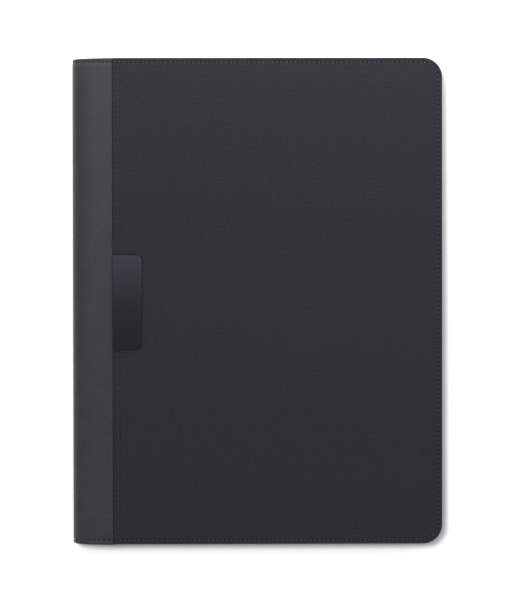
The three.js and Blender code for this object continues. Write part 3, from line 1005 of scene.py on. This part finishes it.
def badge():
    """A small gently crowned metal tab, whose fore side slopes down to the fabric."""
    low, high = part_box("badge_plate")
    middle_y = (low.y + high.y) / 2
    base = high.z - TAB_THICKNESS
    outline = tab_outline(low, high, TAB_CORNER, TAB_SPINE_CORNER)
    outward = (outline - inset_outline(outline, MM))[:, 0] / MM
    fore_slope = TAB_FORE_SLOPE * np.clip(outward, 0, 1) ** 2
    bevel = TAB_BEVEL * (1 - 0.7 * np.clip(-outward, 0, 1))
    points = []
    for share, inset, height in tab_rows():
        row = []
        for x, y in inset_outline(outline, inset + share * (bevel + fore_slope)):
            sag = TAB_CROWN * ((y - middle_y) / (high.y - middle_y)) ** 2
            row.append((x, y, base + height - sag * height / TAB_THICKNESS))
        points.append(row)
    build = Build()
    build.grid(points, closed=(False, True), cap="first")
    add_crowned_top(build, np.array(points[-1]), middle_y)
    tab = build.make("metal_tab", [plate_finish()], sharp_deg=35)
    settle(tab, "front_cover", "badge_plate")


def badge_shadow_line():
    """A thin dark strip past the tab at its head and its fore side: painted shadow of the gap round the tab.
    """
    low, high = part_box("badge_plate")
    rim, below = SHADOW_LINE_RIM, 0.1 * MM
    low = Vector((low.x + 2 * rim, low.y))
    high = Vector((high.x + rim, high.y + 0.5 * rim))
    outline = tab_outline(low, high, TAB_CORNER + rim, 0.5 * MM)
    build = Build()
    add_slab(build, outline, TOP_Z - below, TOP_Z + SHADOW_LINE_HEIGHT, 0.1 * MM)
    settle(build.make("tab_shadow_line", [shadow_line_finish()]), "front_cover")


def tab_outline(low, high, radius, spine_radius):
    """The tab's outline: well rounded at the fore corners, nearly square at the spine ones."""
    return np.array(rounded_rectangle(low, high, (radius, 14), (spine_radius, 5), between=12))


def add_crowned_top(build, ring, middle_y):
    """Closes a crowned plate with a fan, so that its top keeps the curve of its edge."""
    peak = ring[:, 2].max()
    half = np.abs(ring[:, 1] - middle_y).max()
    low_x, high_x = ring[:, 0].min(), ring[:, 0].max()
    sag = peak - ring[:, 2].min()
    centres = ring.copy()
    centres[:, 0] = (low_x + high_x) / 2
    centres[:, 1] = middle_y + (ring[:, 1] - middle_y) * 0.98
    centres[:, 2] = peak - sag * ((centres[:, 1] - middle_y) / half) ** 2
    build.grid([ring, centres], closed=(False, True))


# Pockets
POCKET_ROUNDING = 0.2 * MM
FACE_LAYER = 0.4 * MM
CARD_POCKETS = (1, 2, 3)


def document_pocket():
    """A pocket sheet sewn to the front lining on three sides, with a hemmed slanting mouth."""
    low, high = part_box("document_pocket")
    radius = CORNER_RADIUS - (FORE_X - high.x)
    mouth_drop, hem = 31 * MM, 9 * MM
    inner, overlap = low.z + FACE_LAYER, 0.1 * MM
    mouth = [(high.x, high.y - mouth_drop), (low.x, high.y)]
    corner = arc(high.x - radius, low.y + radius, radius, -90, 0)
    strip = [(low.x, high.y - hem), (high.x, high.y - mouth_drop - hem), *mouth]
    build = Build()
    add_slab(build, [(low.x, low.y), *corner, *mouth], inner, high.z, POCKET_ROUNDING)
    add_slab(build, strip, low.z, inner + overlap, POCKET_ROUNDING)
    pocket = build.make("document_pocket_sheet", [lining_finish()])
    settle(pocket, "front_cover", "document_pocket")
    thread = Thread(FINE)
    margin = 2 * MM
    side_x, hem_y = low.x + margin, high.y - hem + margin
    sewn_line(thread, (side_x, low.y + margin), (side_x, high.y - margin), inner, -1)
    sewn_line(thread, (low.x, hem_y), (high.x, hem_y - mouth_drop), low.z, -1)
    settle(thread.make("document_pocket_stitching"), "front_cover")


def card_pockets():
    """Three pockets for cards, each sewn at its sides and foot."""
    for number in CARD_POCKETS:
        node = f"card_pocket_{number}"
        low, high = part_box(node)
        build = Build()
        corner = (2.5 * MM, 6)
        add_slab(build, rounded_rectangle(low, high, corner, corner), low.z, high.z, POCKET_ROUNDING)
        pocket = build.make(f"card_pocket_sheet_{number}", [lining_finish()])
        settle(pocket, "front_cover", node)
        thread = Thread(FINE)
        margin, mouth = 1.8 * MM, 2.5 * MM
        left, right, foot, head = low.x + margin, high.x - margin, low.y + margin, high.y - mouth
        sewn_line(thread, (left, head), (right, head), low.z, -1)
        if number == CARD_POCKETS[-1]:
            sewn_line(thread, (left, foot), (right, foot), low.z, -1)
        for side in (left, right):
            sewn_line(thread, (side, foot), (side, head), low.z, -1)
        settle(thread.make(f"card_pocket_stitching_{number}"), "front_cover")


# Writing pad

PAD_LOW, PAD_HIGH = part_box("pad_paper")


def rectangle(low, high):
    """A box's outline, from its low corner on."""
    return [(low.x, low.y), (high.x, low.y), (high.x, high.y), (low.x, high.y)]


def pad_leaves():
    """A block of ruled leaves."""
    build = Build()
    layers, uneven = 12, 0.05 * MM
    height = PAD_HIGH.z - PAD_LOW.z
    rows = [(uneven * (i % 2), PAD_LOW.z + height * i / layers) for i in range(layers + 1)]
    points = slab_rows(rectangle(PAD_LOW, PAD_HIGH), rows)
    lengths = np.array([0, 1, 2, 3]) * (PAD_HIGH.x - PAD_LOW.x)
    uvs = [[(along, z) for along in lengths] for _, z in rows]
    build.grid(points, uvs, closed=(False, True), finish=1)
    build.add(points[-1], points[-1][:, :2], [range(4)])
    build.add(points[0], points[0][:, :2], [range(4)], flip=True)
    leaves = build.make("pad_leaves", [page_finish(), page_edge_finish()], sharp_deg=30)
    settle(leaves, "back_cover", "pad_paper")


def pad_back():
    """The pad's chipboard back."""
    low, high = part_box("pad_backing_board")
    build = Build()
    add_slab(build, rectangle(low, high), low.z, high.z, 0.1 * MM)
    backing = build.make("pad_back", [board_finish("chipboard", (150, 128, 96), (182, 160, 126))])
    settle(backing, "back_cover", "pad_backing_board")


def pad_tape():
    """The cloth tape that binds the pad's head, over its face and its edge and in behind its back."""
    low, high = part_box("pad_binding_tape")
    thick, face, turned, radius = 0.2 * MM, 20 * MM, 10 * MM, 0.5 * MM
    line = [(high.y - turned, low.z + thick), (high.y - turned, low.z)]
    line += arc(high.y - radius, low.z + radius, radius, -90, 0, 5)
    line += arc(high.y - radius, high.z - radius, radius, 0, 90, 5)
    line += [(high.y - face, high.z), (high.y - face, high.z - thick)]
    steps = np.append(0, np.cumsum([math.dist(a, b) for a, b in zip(line, line[1:])]))
    points = [[(x, y, z) for x in (low.x, high.x)] for y, z in line]
    uvs = [[(x, v) for x in (low.x, high.x)] for v in steps]
    build = Build()
    build.grid(points, uvs)
    tape = build.make("pad_tape", [tape_finish()])
    settle(tape, "back_cover", "pad_binding_tape")


# The pad's sleeve: its rounded rim, and the sewn border before it rises over the backing board
SLEEVE_RIM = 0.3 * MM
SLEEVE_BORDER = 1.2 * MM
SLEEVE_FORE_BORDER = 0.6 * MM
SLEEVE_FOOT_BORDER = 5.0 * MM
SLEEVE_SEWN = 0.6 * MM
SLEEVE_SLOPE = 2.2 * MM
SLEEVE_REACHES = (0, 0.3, 1.2, 2.3, 3.5, 4.5, 5.5, 6.3, 7.1, 8, 30)


def sleeve_columns(low, high, radius):
    """Places across the sleeve: spine side, rise onto the board, flat and round fore corner."""
    board_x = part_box("pad_backing_board")[0].x
    border = np.linspace(low.x + SLEEVE_BORDER, board_x + 0.5 * MM, 6)
    flat = np.linspace(board_x + 30 * MM, high.x - radius, 4)
    corner = high.x - radius + radius * np.sin(np.radians(np.linspace(10, 90, 12)))
    return [low.x, low.x + SLEEVE_RIM, *border, *flat, *corner]


def sleeve_height(low, high, x, y, reach):
    """The sleeve's height: down at its rim, on the lining at its border, and raised over the board."""
    near = min(x - low.x, high.x - x, reach)
    lift = smooth((x - low.x - SLEEVE_BORDER) / SLEEVE_SLOPE)
    lift *= smooth((high.x - x - SLEEVE_FORE_BORDER) / SLEEVE_SLOPE)
    lift *= smooth((y - low.y - SLEEVE_FOOT_BORDER) / SLEEVE_SLOPE)
    sewn = low.z + SLEEVE_SEWN
    return low.z + min(1.0, near / SLEEVE_RIM) * SLEEVE_SEWN + lift * (high.z - sewn)


def pad_sleeve():
    """A panel sewn to the back lining on three sides, drawn over the pad's backing board."""
    low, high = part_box("pad_sleeve")
    radius = CORNER_RADIUS - (FORE_X - high.x)
    columns = sleeve_columns(low, high, radius)
    rows = []
    for reach in [*SLEEVE_REACHES, None]:
        row = []
        for x in columns:
            curve = max(0.0, x - (high.x - radius))
            foot = low.y + radius - math.sqrt(max(0.0, radius**2 - curve**2))
            y = high.y if reach is None else foot + reach * MM
            z = sleeve_height(low, high, x, y, 1.0 if reach is None else reach * MM)
            row.append((x, y, z))
        rows.append(row)
    points = np.array(rows)
    build = Build()
    build.grid(points)
    lip_drop, lip_turn = 0.5 * MM, 3 * MM
    build.grid([points[-1], points[-1] - (0, 0, lip_drop), points[-1] - (0, lip_turn, lip_drop)])
    sleeve = build.make("pad_sleeve_sheet", [lining_finish()])
    settle(sleeve, "back_cover", "pad_sleeve")
    thread = Thread(FINE)
    seam_x, sewn = low.x + SLEEVE_BORDER, low.z + SLEEVE_SEWN
    ends = (seam_x, low.y + SLEEVE_BORDER), (seam_x, high.y - SLEEVE_BORDER)
    sewn_line(thread, *ends, sewn, 1)
    settle(thread.make("pad_sleeve_stitching"), "back_cover")


def pen_loop():
    """A loop of ribbed elastic, its tail sewn down under the sleeve's edge."""
    low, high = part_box("pen_loop")
    thick, reach_x, reach_z = 0.8 * MM, 5.3 * MM, 4.4 * MM
    middle = np.array((low.x + reach_x, high.z - reach_z))
    half = (high.y - low.y) / 2
    shoulder, side = half - 0.5 * MM, half - 0.2 * MM
    section = [(-half, 0.7), (-half, 0.3), (-side, 0.05), (-shoulder, 0.0)]
    section += [(shoulder, 0.0), (side, 0.05), (half, 0.3), (half, 0.7)]
    section += [(side, 0.95), (shoulder, 1.0), (-shoulder, 1.0), (-side, 0.95)]
    turns = 64
    points, uvs = [], []
    length = math.pi * (reach_x + reach_z)
    for k in range(turns):
        angle = 2 * math.pi * k / turns
        for y, share in section:
            x = middle[0] + (reach_x - share * thick) * math.cos(angle)
            z = middle[1] + (reach_z - share * thick) * math.sin(angle)
            points.append((x, y, z))
            uvs.append((length * k / turns, y))
    build = Build()
    build.grid(np.reshape(points, (turns, len(section), 3)), uvs, closed=(True, True), flip=True)
    tail_low, tail_thickness = Vector((middle[0], low.y, 0)), 0.65 * MM
    add_slab(build, rectangle(tail_low, high), low.z, low.z + tail_thickness, 0.2 * MM)
    loop = build.make("elastic_loop", [elastic_finish()])
    settle(loop, "back_cover", "pen_loop")


def finish_boards():
    """The boards stay sealed inside the covers, as they are in the frame."""
    grey = board_finish("greyboard", (118, 114, 106), (160, 156, 148))
    for node in ("front_board", "back_board"):
        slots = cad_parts[node].data.materials
        slots.clear()
        slots.append(grey)


# The floor, the light and the camera

CAMERA_PLACE = Vector((-0.0447, 0.0629, 2.5))
CAMERA_AIM = Vector((0.0019, 0.00085, TOP_Z))
CAMERA_ROLL = math.radians(-0.086)
CAMERA_LENS = 152.2
CAMERA_SENSOR = 24.0


def camera():
    """Nearly straight above the cover, a little toward its head and its spine."""
    data = bpy.data.cameras.new("camera")
    data.sensor_fit = "VERTICAL"
    data.sensor_height = CAMERA_SENSOR
    data.lens = CAMERA_LENS
    made = add_object("camera", data)
    forward = (CAMERA_AIM - CAMERA_PLACE).normalized()
    right = forward.cross(Vector((0, 1, 0))).normalized()
    axes = Matrix((right, right.cross(forward), -forward)).transposed()
    turned = axes @ Matrix.Rotation(CAMERA_ROLL, 3, "Z")
    made.matrix_world = Matrix.Translation(CAMERA_PLACE) @ turned.to_4x4()
    bpy.context.scene.camera = made


def seen_or_lit(n, seen, lit):
    """One value for what the camera, mirrors and glass show, and another for the light given off."""
    path = n.node("ShaderNodeLightPath")
    shown = n.math("MAXIMUM", path.outputs["Is Glossy Ray"], path.outputs["Is Transmission Ray"])
    shown = n.math("MAXIMUM", shown, path.outputs["Is Camera Ray"])
    return n.math("ADD", lit, n.math("MULTIPLY", shown, seen - lit))


FLOOR_HALF = 6.0
FLOOR_SEEN = 1.2
FLOOR_LIT = 0.25


def floor():
    """A pale table, plain white to the camera, that keeps the object's shadow."""
    build = Build()
    corners = [(x * FLOOR_HALF, y * FLOOR_HALF, 0) for x, y in ((-1, -1), (1, -1), (1, 1), (-1, 1))]
    build.add(corners, [(x, y) for x, y, _ in corners], [range(4)])
    n = Nodes("white_table")
    pale = seen_or_lit(n, FLOOR_SEEN, FLOOR_LIT)
    finish = n.finish(Base_Color=n.vector(pale, pale, pale), Roughness=1.0, Specular_IOR_Level=0.0)
    build.make("table", [finish])


WORLD_LEVEL = 0.32
WORLD_COLOUR = (0.96, 0.97, 1.06, 1.0)
SOFT_WHITE = (1.0, 0.99, 0.95)


def area_light(name, size, energy, place):
    """A soft rectangular light that looks straight down and isn't seen itself."""
    data = bpy.data.lights.new(name, "AREA")
    data.shape = "RECTANGLE"
    data.size, data.size_y = size
    data.energy = energy
    data.color = SOFT_WHITE
    light = add_object(name, data)
    light.location = place
    light.visible_camera = False


def lights():
    """An even room, a lamp high on the left that throws the soft shadow, and two lights past the head."""
    world = bpy.data.worlds.new("studio")
    bpy.context.scene.world = world
    world.use_nodes = True
    background = world.node_tree.nodes["Background"]
    background.inputs["Color"].default_value = WORLD_COLOUR
    background.inputs["Strength"].default_value = WORLD_LEVEL

    sun = bpy.data.lights.new("window", "SUN")
    sun.energy = 1.85
    sun.angle = math.radians(15)
    lamp = add_object("window", sun)
    lamp.rotation_euler = (math.radians(-11.5), math.radians(-14.0), 0)
    lamp.visible_glossy = False

    area_light("soft_box", size=(1.2, 0.5), energy=1.6, place=(0.27, 0.262, 0.5))
    area_light("head_strip", size=(0.7, 0.08), energy=0.42, place=(0.02, 0.27, 0.12))


camera()
front_outline = fabric_panel(FRONT)
back_outline = fabric_panel(BACK)
panel_stitches(FRONT, front_outline)
panel_stitches(BACK, back_outline)
for each in (FRONT, BACK):
    leather_half(each)
    leather_stitches(each)
    lining_panel(each)
    gusset_half(each)
    gusset_stitches(each)
badge()
badge_shadow_line()
document_pocket()
card_pockets()
pad_leaves()
pad_back()
pad_tape()
pad_sleeve()
pen_loop()
finish_boards()
floor()
lights()

bpy.context.scene.view_settings.view_transform = "Standard"
